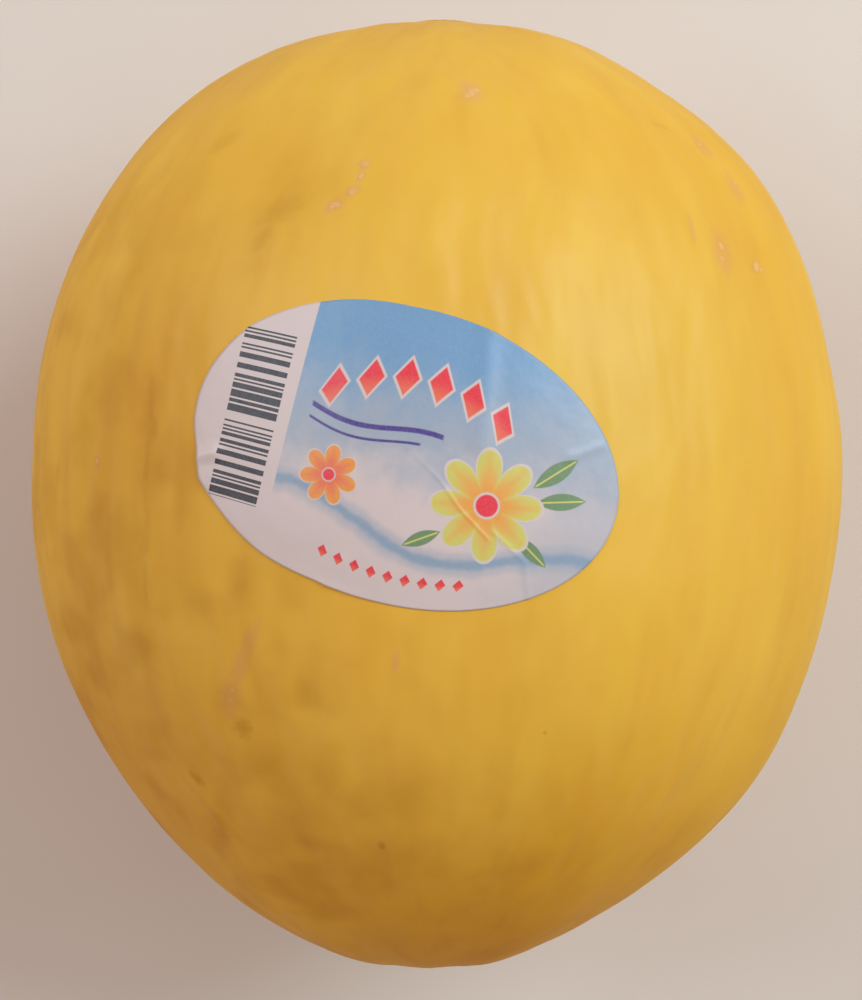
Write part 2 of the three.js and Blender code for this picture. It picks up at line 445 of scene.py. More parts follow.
# %% The whole tree, from a sphere to the lying melon
def form_tree():
    tree = bpy.data.node_groups.new("Melon form", "GeometryNodeTree")
    declare(tree, FORM_SIZES, [("Melon", "Geometry")])
    board = Board(tree)
    given = board.node("NodeGroupInput")

    def size(name):
        return board.out(given, name)

    sphere_inputs = {"Segments": size("Sectors"), "Rings": size("Rings"), "Radius": 1.0}
    sphere = board.out(board.node("GeometryNodeMeshUVSphere", sphere_inputs))
    across, upward, forward = board.separate(board.out(board.node("GeometryNodeInputPosition")))
    direction = board.vector("NORMALIZE", board.combine(upward, forward, across))
    remember = board.node(
        "GeometryNodeStoreNamedAttribute",
        {"Geometry": sphere, "Name": "fruit", "Value": direction},
        data_type="FLOAT_VECTOR",
        domain="POINT",
    )
    distance = rind_distance(board, size, direction)
    pitch, yaw = board.math("RADIANS", size("Pitch")), board.math("RADIANS", size("Yaw"))
    lying = board.node(
        "ShaderNodeVectorRotate",
        {
            "Vector": board.scaled(direction, distance),
            "Rotation": board.combine(pitch, 0.0, yaw),
        },
        rotation_type="EULER_XYZ",
    )
    place = board.vector("ADD", board.out(lying), size("Middle"))
    grown_inputs = {"Geometry": board.out(remember), "Position": place}
    grown = board.out(board.node("GeometryNodeSetPosition", grown_inputs))
    x, y, z = board.separate(board.out(board.node("GeometryNodeInputPosition")))
    resting = board.math("SMOOTH_MAX", z, size("Ground"), size("Flat Edge"))
    pressed = board.combine(x, y, resting)
    placed = board.node("GeometryNodeSetPosition", {"Geometry": grown, "Position": pressed})
    smooth = board.node("GeometryNodeSetShadeSmooth", {"Geometry": board.out(placed)})
    real = board.node("GeometryNodeRealizeInstances", {"Geometry": board.out(smooth)})
    dressed = board.node(
        "GeometryNodeSetMaterial", {"Geometry": board.out(real), "Material": size("Rind")}
    )
    board.node("NodeGroupOutput", {"Melon": board.out(dressed)})
    return tree


MELON_FORM = form_tree()
print("the form takes", len(MELON_FORM.nodes), "nodes")

# %% [markdown]
# ## Growing a piece from its tree
# A Geometry Nodes tree only makes something once it is in a modifier on an object. The
# modifier could stay live, but a finished piece is easier to measure, to lay things on and
# to hand on as a plain mesh. So this helper puts the tree on an empty mesh, sets the
# inputs, takes a plain copy of the result, and throws the modifier away with its object.


# %% A helper that grows a tree into a plain mesh
def add_object(name, mesh):
    piece = bpy.data.objects.new(name, mesh)
    scene.collection.objects.link(piece)
    return piece


def grow(name, tree, start=None, **values):
    start = start or bpy.data.meshes.new(name + "_start")
    soil = add_object(name + "_start", start)
    modifier = soil.modifiers.new("grow", "NODES")
    modifier.node_group = tree
    wanted = {key.replace("_", " ").title(): value for key, value in values.items()}
    for item in tree.interface.items_tree:
        if item.item_type == "SOCKET" and item.in_out == "INPUT" and item.name in wanted:
            modifier[item.identifier] = wanted.pop(item.name)
    if wanted:
        raise KeyError(f"the tree has no input for {sorted(wanted)}")
    graph = bpy.context.evaluated_depsgraph_get()
    mesh = bpy.data.meshes.new_from_object(soil.evaluated_get(graph))
    mesh.name = name
    # An empty start can leave an empty slot in front of the real material.
    while mesh.materials and mesh.materials[0] is None:
        mesh.materials.pop(index=0)
    bpy.data.objects.remove(soil)
    return add_object(name, mesh)


def triangle_count(piece):
    return sum(len(face.vertices) - 2 for face in piece.data.polygons)


def new_material(name, **constants):
    """A material with its Principled shader, as (material, board, shader)."""
    material = bpy.data.materials.new(name)
    material.use_nodes = True
    shader = material.node_tree.nodes["Principled BSDF"]
    for socket, value in constants.items():
        shader.inputs[socket.replace("_", " ")].default_value = value
    return material, Board(material.node_tree), shader


print("a piece can be grown, counted and given a material")

# %% Grow the melon
rind_material, rind_board, rind_shader = new_material(
    "waxy_rind", Metallic=0.0, Specular_IOR_Level=0.12, Coat_Roughness=0.5, Coat_IOR=1.4
)
melon = grow("melon_body", MELON_FORM, rind=rind_material)
melon_low = Vector(np.min([vertex.co for vertex in melon.data.vertices], axis=0))
melon_high = Vector(np.max([vertex.co for vertex in melon.data.vertices], axis=0))
print("the melon has", triangle_count(melon), "triangles")
print("its box in mm:", [round(side / MM, 2) for side in melon_high - melon_low])

# %% [markdown]
# ## Marks on the rind
# Every melon carries a few bruises, pits and healed scars. Soft bruises lie mostly on the
# side and toward the stem end, where the melon was handled. Pits are small dark dents, and
# creases are thin dark lines. Here neither has relief, so their darkness is partly their own
# colour and partly painted shade. Healed scars are pale and pinkish, because cork has closed
# them. All of them are faint: a real melon's marks are only a few shades off its gold.
#
# Painting them on an image would tie them to one map, so each is an oval. Large soft marks
# are wider than the faces of the mesh, so Python works them out once and stores them on its
# points. Small sharp ones are worked out by nodes, afresh for every point that is seen.

# %% The places of the marks
# longitude and latitude in degrees, length and width in mm, turn from the meridian
BRUISES = [
    (-23.8, 36.4, 15, 8, 50),
    (-25.6, 32.6, 10, 4.5, 30),
    (-39.0, 46.0, 3.6, 2.2, 40),
    (-51, 24, 9, 6, 0),
    (-40, 12, 10, 4, 0),
    (-38.5, 4, 9, 5, 5),
    (-42, -9, 15, 4.5, 5),
    (-25.4, -8.6, 4, 3, 0),
    (-62, -21, 24, 6, 0),
    (-26, -44, 13, 8, 50),
    (-40, -45, 16, 3, 35),
    (-43, -22, 22, 4, 0),
    (-13, -54, 9, 5, 60),
    (0, -49, 8, 5, 10),
    (-16, -34, 8, 4, 20),
    (-17.8, -22.7, 5, 3, 0),
    (15, -50, 12, 6, 70),
    (-5, -38, 13, 6, 80),
    (150, 20, 14, 7, 30),
    (-130, -30, 12, 6, -40),
    (112, -15, 10, 5, 10),
    (100, 40, 9, 5, 60),
    (-105, 18, 12, 6, 20),
    (175, -30, 15, 8, 80),
]
# Creases have no relief: their dark lines are partly the rind's own colour and partly painted shade
# in the crease; two are a bruise's dark heart.
CREASES = [
    (-39.5, 13.0, 7.0, 1.3, -8),
    (-38.6, 9.5, 3.6, 1.8, 18),
    (-39.6, 5.0, 8.0, 1.1, 2),
    (-39.2, -1.5, 6.0, 1.2, -6),
    (-39.8, -5.0, 3.2, 2.0, 20),
    (-40.5, -10.5, 7.0, 1.0, 6),
    (-39.5, -43.5, 13.0, 1.8, -30),
    (43.2, 50.5, 4.2, 1.0, 112),
    (-23.7, 36.5, 7.0, 3.6, 55),
    (-25.5, 33.2, 5.0, 1.8, 28),
    (-100, -5, 16.0, 1.1, -3),
]
# Pits have no dent: their darkness is partly their own colour and partly painted shade.
PITS = [
    (-27.9, -28.4, 3.2, 2.6, 20),
    (-40.1, -37.0, 2.5, 1.7, -35),
    (-8.6, -45.4, 1.4, 1.0, 0),
    (15.5, -27.7, 0.55, 0.55, 0),
    (-92, 22, 2.0, 1.2, -20),
]
HEALED = [
    (-24.6, -16.6, 8.0, 2.2, 27),
    (-26.4, -19.9, 8.5, 2.6, 27),
    (-28.7, -24.0, 7.0, 3.5, 22),
    (-5, -18.1, 3.6, 1.3, 10),
    (-49.7, 5, 1.8, 1.5, 0),
    (-12.1, 42.4, 2.4, 1.8, 20),
    (-12.4, 40.8, 1.8, 1.4, 0),
    (-13.2, 38.9, 2.4, 1.6, 60),
    (-15.6, 37.0, 3.0, 1.9, 60),
    (38.2, 35.2, 4.6, 1.3, 8),
    (43.5, 32.6, 6.6, 3.8, 4),
    (50.6, 31.1, 2.6, 1.6, 60),
    (54.6, 41.9, 5.2, 3.4, 12),
    (52.6, 48.0, 3.8, 3.0, 0),
    (5.0, 54.0, 4.4, 3.2, 0),
    (-88, -35, 12.0, 1.6, 40),
    (95, 12, 7.0, 1.0, -8),
]
marks = [BRUISES, CREASES, PITS, HEALED]
print("bruises, creases, pits, healed scars:", [len(rows) for rows in marks])

# %% Broad tints of the rind: its own tone and painted light
# Broad soft tints that multiply the rind's colour. They are partly the rind's own tone, which
# varies on the hidden sides, and partly painted light: a painted lemon highlight on the upper
# right, a painted bluish sheen toward the blossom end, painted light on the lower middle and
# along the left rim, and less blue toward the stem end and the lower rim, where it stands in
# for less reflection. The left flank is tinted browner.
# longitude, latitude and reach in degrees, then the tint in red, green and blue
TONE_AND_PAINTED_LIGHT = [
    (22, 18, 18, (0.99, 1.08, 1.04)),
    (30, -22, 22, (1.09, 1.12, 1.10)),
    (-10, -21, 18, (1.08, 1.08, 1.16)),
    (-30, -18, 14, (1.04, 1.05, 1.04)),
    (-42, 9, 15, (0.97, 0.90, 0.84)),
    (-38, 16, 10, (0.97, 0.95, 0.88)),
    (-30, 2, 16, (1.01, 1.02, 0.78)),
    (-60, 20, 20, (1.05, 1.07, 1.08)),
    (-64, 0, 14, (1.06, 1.09, 1.14)),
    (-62, -38, 20, (0.94, 0.84, 0.80)),
    (-35, -60, 14, (1.06, 1.10, 1.05)),
    (-60, 42, 18, (1.13, 1.17, 1.23)),
    (52, 0, 22, (1.01, 1.0, 0.93)),
    (15, -75, 38, (0.99, 0.93, 0.44)),
    (45, -50, 22, (1.0, 0.97, 0.76)),
    (0, -84, 26, (0.95, 0.90, 0.66)),
    (28, -56, 15, (0.94, 0.90, 0.62)),
    (0, -70, 14, (0.93, 0.90, 0.66)),
    (-15, 52, 24, (1.0, 1.03, 1.13)),
    (0, 80, 26, (1.02, 1.06, 1.32)),
    (150, -10, 30, (1.03, 1.04, 1.0)),
    (-130, 25, 26, (0.97, 0.94, 0.90)),
]

# %% Store the bruises, and the tints with their painted light, on the points of the melon
fruit_values = np.empty(len(melon.data.vertices) * 3)
melon.data.attributes["fruit"].data.foreach_get("vector", fruit_values)
directions = fruit_values.reshape(-1, 3)

bruise_values = np.full(len(directions), 9.0)
for mark in BRUISES:
    middle, along, across = (np.array(arrow) for arrow in oval_arrows(*mark))
    reach = np.hypot(directions @ along, directions @ across)
    reach[directions @ middle < 0] = 9.0
    bruise_values = np.minimum(bruise_values, reach)

tone_and_light_values = np.ones_like(directions)
for longitude, latitude, reach, tint in TONE_AND_PAINTED_LIGHT:
    apart = np.linalg.norm(directions - np.array(fruit_direction(longitude, latitude)), axis=1)
    share = np.exp(-((apart / math.radians(reach)) ** 2))[:, None]
    tone_and_light_values *= 1 + share * (np.array(tint) - 1)

bruise_field = melon.data.attributes.new("bruise", "FLOAT", "POINT")
bruise_field.data.foreach_set("value", bruise_values)
tone_and_light_field = melon.data.attributes.new("shade", "FLOAT_VECTOR", "POINT")
tone_and_light_field.data.foreach_set("vector", tone_and_light_values.ravel())
print("darkest and lightest shade:", tone_and_light_values.min().round(2), tone_and_light_values.max().round(2))

# %% [markdown]
# ## The rind's colour and sheen
# A ripe honeydew is a deep golden yellow. Look closer and it is shaded by long faint bands
# that run from end to end, by cloudy patches, and by shallow wrinkles that break up the
# soft sheen of its wax. A flat yellow would look like plastic. Noise that is stretched
# along the meridians gives the bands and wrinkles, and because it is built from the
# direction to each point, it closes around the fruit without a seam.


# %% Noise for the colours
def fruit_noise(scale, detail=2.0, roughness=0.5):
    """Noise that is equally fine all over the fruit."""
    return rind_board.noise(rind_board.scaled(fruit, scale), 1.0, detail, roughness)


fruit = rind_board.attribute("fruit")
skin_lines = SkinLines(rind_board, fruit)
fruit_x, fruit_y, fruit_z = skin_lines.x, skin_lines.y, skin_lines.z
bands, wrinkles = skin_lines.bands(), skin_lines.wrinkles()
streaks = rind_board.noise(skin_lines.place(14.0, 2.6, 7.0), 1.0, 1.0, 0.5)
clouds = fruit_noise(2.6)
patches = fruit_noise(5.8)
freckles = fruit_noise(42.0, 1.0, 0.6)
pores = fruit_noise(130.0, 1.0)
print("bands, wrinkles, clouds and pores are ready")

# %% The masks of the marks
ragged = (fruit_noise(55.0, 2.0, 0.65) - 0.5) * 2.0
smoky = (fruit_noise(13.0) - 0.5) * 2.6
bruised = mark_mask(rind_board, rind_board.attribute("bruise", "Fac"), smoky, 1.1)
creased = mark_mask(rind_board, nearest_mark(rind_board, fruit, CREASES), ragged, 0.8)
pitted = mark_mask(rind_board, nearest_mark(rind_board, fruit, PITS), ragged, 0.85)
healed = mark_mask(rind_board, nearest_mark(rind_board, fruit, HEALED), ragged * 0.5, 0.6)
print("the rind's board holds", len(rind_board.tree.nodes), "nodes")


# %% The colour, layer by layer
def mixed(board, share, below, above, blend="MIX"):
    node = board.node("ShaderNodeMix", data_type="RGBA", blend_type=blend)
    board.plug(node.inputs[0], share)
    board.plug(node.inputs[6], below)
    board.plug(node.inputs[7], above)
    return board.out(node, 2)


def tinted(below, share, tint):
    """The colour below, multiplied by a tint where the share is 1."""
    return mixed(rind_board, share, below, (*tint, 1.0), "MULTIPLY")


GOLD = (0.83, 0.455, 0.049, 1.0)
DEEP_GOLD = (0.80, 0.42, 0.041, 1.0)
SUNNY_GOLD = (0.85, 0.49, 0.058, 1.0)

toward_stem = rind_board.step(fruit_y, 0.2, -0.8)
on_the_left = rind_board.step(fruit_x + fruit_y * 0.4, 0.0, -0.75)
handled = rind_board.math("MAXIMUM", toward_stem, on_the_left)
blotched = 0.12 + toward_stem * 0.18 + on_the_left * 0.85

colour = mixed(rind_board, rind_board.step(clouds, 0.3, 0.7), DEEP_GOLD, GOLD)
colour = mixed(rind_board, rind_board.step(bands, 0.5, 0.75, 0.0, 0.55), colour, SUNNY_GOLD)
# where each layer lies, and its tint in red, green and blue
LAYERS = [
    (rind_board.step(bands, 0.48, 0.25, 0.0, 0.5), (0.93, 0.87, 0.75)),
    (rind_board.step(streaks, 0.5, 0.75) * 0.6, (1.0, 1.03, 0.82)),
    (rind_board.step(streaks, 0.5, 0.25) * (0.35 + handled * 0.2), (0.93, 0.89, 0.76)),
    (rind_board.step(patches, 0.42, 0.72) * blotched, (0.87, 0.80, 0.68)),
    (rind_board.step(freckles, 0.55, 0.8) * (0.06 + handled * 0.06), (0.88, 0.86, 0.80)),
    (bruised * 0.75, (0.89, 0.83, 0.70)),
    # creases and pits have no relief, so part of their darkening is painted shade
    (creased * 0.45, (0.84, 0.78, 0.62)),
    (healed, (0.955, 0.895, 1.85)),
    (pitted * 0.8, (0.76, 0.67, 0.36)),
]
for share, tint in LAYERS:
    colour = tinted(colour, share, tint)
# The stored tints are partly the rind's own tone and partly painted light and shade.
colour = mixed(rind_board, 1.0, colour, rind_board.attribute("shade"), "MULTIPLY")
print("the rind is coloured")

# %% The dry skin around both ends
DRY_TINT = (0.82, 0.70, 0.50)
past_end = skin_lines.from_axis - toward_stem * 0.05 + ragged * 0.012
colour = tinted(colour, rind_board.step(past_end, 0.10, 0.04) * 0.8, DRY_TINT)
print("both ends are browned")

# %% The spot that faced the ground
# On the side it lay on, a melon stays paler, in a patch with a soft edge.
GROUND_CREAM = (0.80, 0.58, 0.22, 1.0)
under = rind_board.step(fruit_z + (clouds - 0.5) * 0.3, -0.72, -0.92)
colour = mixed(rind_board, under * 0.7, colour, GROUND_CREAM)
rind_board.plug(rind_shader.inputs["Base Color"], colour)

# %% Sheen and relief
roughness = 0.54 + (patches - 0.5) * 0.10 + (streaks - 0.5) * 0.06 + (pores - 0.5) * 0.05
roughness = roughness + healed * 0.12 + pitted * 0.2
rind_board.plug(rind_shader.inputs["Roughness"], roughness)
bump = rind_board.node("ShaderNodeBump", {"Distance": MM, "Height": (pores - 0.5) * 0.01})
rind_board.plug(rind_shader.inputs["Normal"], rind_board.out(bump))

# The wax is a thin clear coat with ripples of its own. It is thickest where the melon lay
# uppermost, and has rubbed off on the flanks and underneath.
wax_relief = skin_lines.ripples(wrinkles) * 1.2 + (bands - 0.5) * 0.16
wax_bump = rind_board.node("ShaderNodeBump", {"Distance": MM, "Height": wax_relief})
rind_board.plug(rind_shader.inputs["Coat Normal"], rind_board.out(wax_bump))
waxed = rind_board.step(fruit_z, 0.35, 0.95) * (1.0 - healed * 0.5)
rind_board.plug(rind_shader.inputs["Coat Weight"], waxed)
print("the rind's board now holds", len(rind_board.tree.nodes), "nodes")

# %% [markdown]
# ## Laying things on the rind
# The flecks, the two ends and the sticker all lie on the rind, so their points need the
# exact height of the skin below them. The form's formula could be repeated in Python, but
# a ray that is shot at the finished mesh always agrees with what is seen.

# %% A helper that finds the skin
skin = BVHTree.FromObject(melon, bpy.context.evaluated_depsgraph_get())
OUTSIDE = 0.2  # a distance from the middle, in m, that is well outside the rind


def fruit_to_frame(direction):
    """Turns a direction on the fruit to the way the melon lies."""
    pitch, yaw = math.radians(PITCH), math.radians(YAW)
    x, y, z = direction
    y, z = y * math.cos(pitch) - z * math.sin(pitch), y * math.sin(pitch) + z * math.cos(pitch)
    return Vector((x * math.cos(yaw) - y * math.sin(yaw), x * math.sin(yaw) + y * math.cos(yaw), z))


def skin_below(start, inward):
    """Where a ray from outside meets the rind, and the way the rind faces there."""
    spot, normal, _, _ = skin.ray_cast(start, inward)
    return spot, normal


def skin_toward(direction):
    return skin_below(MIDDLE + direction * OUTSIDE, -direction)


top_spot, _ = skin_toward(Vector((0, 0, 1)))
print("above the middle the rind is at", round(top_spot.z / MM, 2), "mm")

# %% [markdown]
# ## Corky flecks
# Where the skin was scratched while the fruit grew, it closed with crumbs of pale cork.
# They could be more painted spots, but they stand a little proud and catch the light, so
# they are real relief. Each is a small crumpled flake. Geometry Nodes puts one flake on
# each point of a list, turns it to face outward, and ruffles all of them with noise.

# %% The points for the flecks
# longitude, latitude, size in mm
FLECKS = [
    (4.8, 53.9, 1.1),
    (5.9, 54.4, 0.8),
    (4.2, 53.2, 0.6),
    (-12.1, 42.4, 0.8),
    (-12.4, 40.8, 0.6),
    (-13.2, 38.9, 0.8),
    (-15.4, 37.1, 0.7),
    (-16.0, 36.8, 0.5),
    (52.0, 48.3, 0.5),
    (55.9, 42.7, 0.5),
    (56.6, 41.6, 0.4),
    (43.6, 33.4, 0.6),
    (43.0, 31.8, 0.5),
    (51.0, 31.1, 1.0),
    (52.0, 30.8, 0.5),
    (-28.2, -23.1, 0.25),
    (-28.9, -24.6, 0.3),
    (-49.7, 5.0, 0.6),
]
FLECK_SEED = 11
HIDDEN_FLECKS = 46


def hidden_fleck_places():
    """Small groups of flecks on the sides and underneath, from a fixed seed. In degrees,
    longitudes from 72 to 288 are the flanks and the underside."""
    dice = np.random.default_rng(FLECK_SEED)
    places = []
    while len(places) < HIDDEN_FLECKS:
        longitude = dice.uniform(72, 288)
        latitude = dice.uniform(-60, 62)
        for _ in range(dice.integers(1, 5)):
            drift = dice.normal(0, 2.2, 2)
            places.append((longitude + drift[0], latitude + drift[1], dice.uniform(0.4, 1.0)))
    return places[:HIDDEN_FLECKS]


def fleck_points():
    rows = FLECKS + hidden_fleck_places()
    mesh = bpy.data.meshes.new("fleck_points")
    spots, normals, sizes = [], [], []
    for longitude, latitude, size in rows:
        spot, normal = skin_toward(fruit_to_frame(fruit_direction(longitude, latitude)))
        spots.append(spot)
        normals.extend(normal)
        sizes.append(size * MM)
    mesh.from_pydata(spots, [], [])
    facing = mesh.attributes.new("facing", "FLOAT_VECTOR", "POINT")
    facing.data.foreach_set("vector", normals)
    mesh.attributes.new("size", "FLOAT", "POINT").data.foreach_set("value", sizes)
    return mesh


print(len(FLECKS) + HIDDEN_FLECKS, "flecks")


# %% The tree that puts a flake on each point
def flecks_tree():
    tree = bpy.data.node_groups.new("Corky flecks", "GeometryNodeTree")
    sizes = [
        ("Points", "Geometry", None),
        ("Thickness", "Float", 0.05),
        ("Ruffle", "Float", 0.08 * MM),
        ("Seed", "Int", 3),
        ("Cork", "Material", None),
    ]
    declare(tree, sizes, [("Flecks", "Geometry")])
    board = Board(tree)
    given = board.node("NodeGroupInput")
    flake = board.node("GeometryNodeMeshIcoSphere", {"Radius": 1.0, "Subdivisions": 3})
    flat = board.combine(1.0, 0.7, board.out(given, "Thickness"))
    flattened = board.node(
        "GeometryNodeTransform", {"Geometry": board.out(flake), "Scale": flat}
    )
    facing = board.node(
        "GeometryNodeInputNamedAttribute", {"Name": "facing"}, data_type="FLOAT_VECTOR"
    )
    size = board.node("GeometryNodeInputNamedAttribute", {"Name": "size"}, data_type="FLOAT")
    upright = board.node(
        "FunctionNodeAlignEulerToVector", {"Vector": board.out(facing)}, axis="Z"
    )
    spin = board.node(
        "FunctionNodeRandomValue",
        {"Min": (0, 0, 0), "Max": (0, 0, math.tau), "Seed": board.out(given, "Seed")},
        data_type="FLOAT_VECTOR",
    )
    placed = board.node(
        "GeometryNodeInstanceOnPoints",
        {
            "Points": board.out(given, "Points"),
            "Instance": board.out(flattened),
            "Rotation": board.out(upright),
            "Scale": board.out(size),
        },
    )
    spun = board.node(
        "GeometryNodeRotateInstances",
        {"Instances": board.out(placed), "Rotation": board.out(spin)},
    )
    spun.inputs["Local Space"].default_value = True
    real = board.out(board.node("GeometryNodeRealizeInstances", {"Geometry": board.out(spun)}))
    position = board.out(board.node("GeometryNodeInputPosition"))
    crumpled = board.node(
        "ShaderNodeTexNoise", {"Vector": position, "Scale": 900.0, "Detail": 2.0}
    )
    drift = board.vector("SUBTRACT", board.out(crumpled, "Color"), (0.5, 0.5, 0.5))
    moved = board.node(
        "GeometryNodeSetPosition",
        {"Geometry": real, "Offset": board.scaled(drift, board.out(given, "Ruffle"))},
    )
    smooth = board.node("GeometryNodeSetShadeSmooth", {"Geometry": board.out(moved)})
    dressed = board.node(
        "GeometryNodeSetMaterial",
        {"Geometry": board.out(smooth), "Material": board.out(given, "Cork")},
    )
    board.node("NodeGroupOutput", {"Flecks": board.out(dressed)})
    return tree


FLECKS_TREE = flecks_tree()
print("the tree for the flecks takes", len(FLECKS_TREE.nodes), "nodes")


# %% Cork, and the flecks made of it
SCAB_EDGE = (0.50, 0.27, 0.06, 1.0)


def cork_material(name, dark, light, scale, crack_share=0.5, radius=None):
    """Dry cork: pale crumbs with darker cracks between them. A radius, in mm, makes it a
    round scab, with fibres that run out from a dark middle to a browned rim."""
    material, board, shader = new_material(name, Metallic=0.0)
    place = board.out(board.node("ShaderNodeTexCoord"), "Object")
    crumbs = board.noise(place, scale, 4.0, 0.65, 0.6)
    cracks = board.node("ShaderNodeTexVoronoi", {"Vector": place, "Scale": scale * 0.9})
    cracks.feature = "DISTANCE_TO_EDGE"
    crack = board.step(board.out(cracks), 0.12, 0.0)
    shade = mixed(board, board.step(crumbs, 0.3, 0.7), dark, light)
    cracked = [value * 0.5 for value in dark[:3]] + [1.0]
    shade = mixed(board, crack * crack_share, shade, cracked)
    if radius:
        across, up, _ = board.separate(board.attribute("scab"))
        reach = board.length(across, up) / radius
        angle = board.math("ARCTAN2", up, across)
        sine, cosine = board.math("SINE", angle), board.math("COSINE", angle)
        fibres = board.noise(board.combine(sine * 6.0, cosine * 6.0, reach), 1.0, 2.0, 0.6)
        shade = mixed(board, board.step(fibres, 0.48, 0.72) * 0.7, shade, cracked)
        shade = mixed(board, board.step(reach, 0.55, 0.15) * 0.5, shade, cracked)
        rim = board.step(reach + (crumbs - 0.5) * 0.4, 0.72, 1.0)
        shade = mixed(board, rim, shade, SCAB_EDGE)
    board.plug(shader.inputs["Base Color"], shade)
    board.plug(shader.inputs["Roughness"], 0.7 + (crumbs - 0.5) * 0.3)
    relief = (crumbs - crack * 0.4) * crack_share * 2.0
    bump = board.node("ShaderNodeBump", {"Strength": 0.7, "Distance": 0.3 * MM, "Height": relief})
    board.plug(shader.inputs["Normal"], board.out(bump))
    return material


fleck_cork = cork_material(
    "fleck_cork", (0.78, 0.41, 0.11, 1.0), (0.83, 0.46, 0.16, 1.0), 1100.0, crack_share=0.1
)
flecks = grow("corky_flecks", FLECKS_TREE, start=fleck_points(), cork=fleck_cork)
print("the flecks have", triangle_count(flecks), "triangles")

# %% [markdown]
# ## The two ends
# The blossom end keeps a low button of cork where the flower was. The stem end keeps a dry
# stub of the stalk in a shallow hollow. Both are round and flat, so both could be turned
# like the frame's plain plugs, but real ones are irregular. They are made ring by ring: a
# profile says how high each ring stands above the skin, and noise from sines makes the rim
# wander. The outermost ring dives under the skin, so that no edge shows.


# %% A helper that builds a round scab on the skin
SCAB_SECTORS = 96
# the waves in a scab's rim: how many go around, how large each is, and where it starts
LOBES = [(3, 1.0, 0.7), (5, 0.6, 2.1), (11, 0.4, 4.0), (23, 0.25, 1.0)]


def round_scab(name, axis, profile, wander, grain, material):
    """profile rows are (distance from the axis, height over the skin) in mm."""
    sectors = SCAB_SECTORS
    side = Vector((0, 0, 1)).cross(axis).normalized()
    up = axis.cross(side)
    far = MIDDLE + axis * OUTSIDE
    points, faces, places = [], [], []
    for ring, (reach, height) in enumerate(profile):
        for sector in range(sectors):
            angle = math.tau * sector / sectors
            cosine, sine = math.cos(angle), math.sin(angle)
            lobes = sum(size * math.sin(count * angle + turn) for count, size, turn in LOBES)
            distance = reach * (1 + wander * lobes)
            spot, _ = skin_below(far + (side * cosine + up * sine) * (distance * MM), -axis)
            rough = grain * math.sin(17 * angle + 1.3 * ring) * math.sin(2.7 * ring + 5 * angle)
            points.append(spot + axis * (height + rough) * MM)
            places.extend((cosine * distance, sine * distance, height))
    rings = len(profile)
    for ring in range(rings - 1):
        for sector in range(sectors):
            after = (sector + 1) % sectors
            a, b = ring * sectors + sector, ring * sectors + after
            faces.append((a, b, b + sectors, a + sectors))
    base_spot, _ = skin_below(far, -axis)
    points.append(base_spot + axis * profile[0][1] * MM)
    points.append(base_spot + axis * profile[-1][1] * MM)
    places.extend((0, 0, profile[0][1], 0, 0, profile[-1][1]))
    last = (rings - 1) * sectors
    for sector in range(sectors):
        after = (sector + 1) % sectors
        faces.append((len(points) - 2, after, sector))
        faces.append((len(points) - 1, last + sector, last + after))
    mesh = bpy.data.meshes.new(name)
    mesh.from_pydata(points, [], faces)
    mesh.attributes.new("scab", "FLOAT_VECTOR", "POINT").data.foreach_set("vector", places)
    mesh.materials.append(material)
    mesh.shade_smooth()
    mesh.validate()
    return add_object(name, mesh)


scar_cork = cork_material(
    "scar_cork", (0.30, 0.17, 0.08, 1.0), (0.62, 0.42, 0.22, 1.0), 700.0, radius=3.6
)
stalk_cork = cork_material(
    "stalk_cork", (0.28, 0.16, 0.07, 1.0), (0.62, 0.44, 0.22, 1.0), 900.0, radius=5.9
)
print("the cork for both ends is mixed")

# %% The blossom scar
BLOSSOM_PROFILE = [
    (0.4, -1.0),
    (2.4, -1.0),
    (3.7, -0.5),
    (3.6, -0.02),
    (3.3, 0.02),
    (2.9, 0.035),
    (2.5, 0.03),
    (2.1, 0.06),
    (1.7, 0.05),
    (1.3, 0.09),
    (0.9, 0.05),
    (0.5, 0.08),
]
blossom_axis = fruit_to_frame(Vector((0, 1, 0)))
blossom_scar = round_scab(
    "blossom_scar", blossom_axis, BLOSSOM_PROFILE, wander=0.035, grain=0.015, material=scar_cork
)
print("the blossom scar has", triangle_count(blossom_scar), "triangles")

# %% The stub of the stalk
STUB_PROFILE = [
    (0.6, -1.5),
    (4.0, -1.5),
    (6.2, -0.9),
    (5.9, 0.05),
    (5.2, 0.35),
    (4.8, 0.9),
    (4.6, 1.35),
    (4.2, 1.62),
    (3.6, 1.55),
    (3.0, 1.2),
    (2.2, 1.05),
    (1.4, 1.2),
    (0.7, 1.1),
]
stem_axis = fruit_to_frame(Vector((0, -1, 0)))
stalk_stub = round_scab(
    "stalk_stub", stem_axis, STUB_PROFILE, wander=0.045, grain=0.09, material=stalk_cork
)
print("the stub has", triangle_count(stalk_stub), "triangles")

# %% [markdown]
# ## The sticker's sheet
# The sticker is an oval of thin glossy paper, glued to a form that curves both ways, so it
# had to wrinkle: one sharp fold runs across it, a few soft ones come in from its edge, and
# the rim lifts here and there. A flat disc with a Shrinkwrap modifier would follow the
# skin, but it would stretch the print and lose the folds. Instead every point of the sheet
# is walked as far along the skin as it is from the middle of the oval. The height over
# the skin is then the glue, plus the folds, plus the lifted rim.

# %% The sheet's numbers
PAPER_THICKNESS = 0.09
GLUE = 0.03
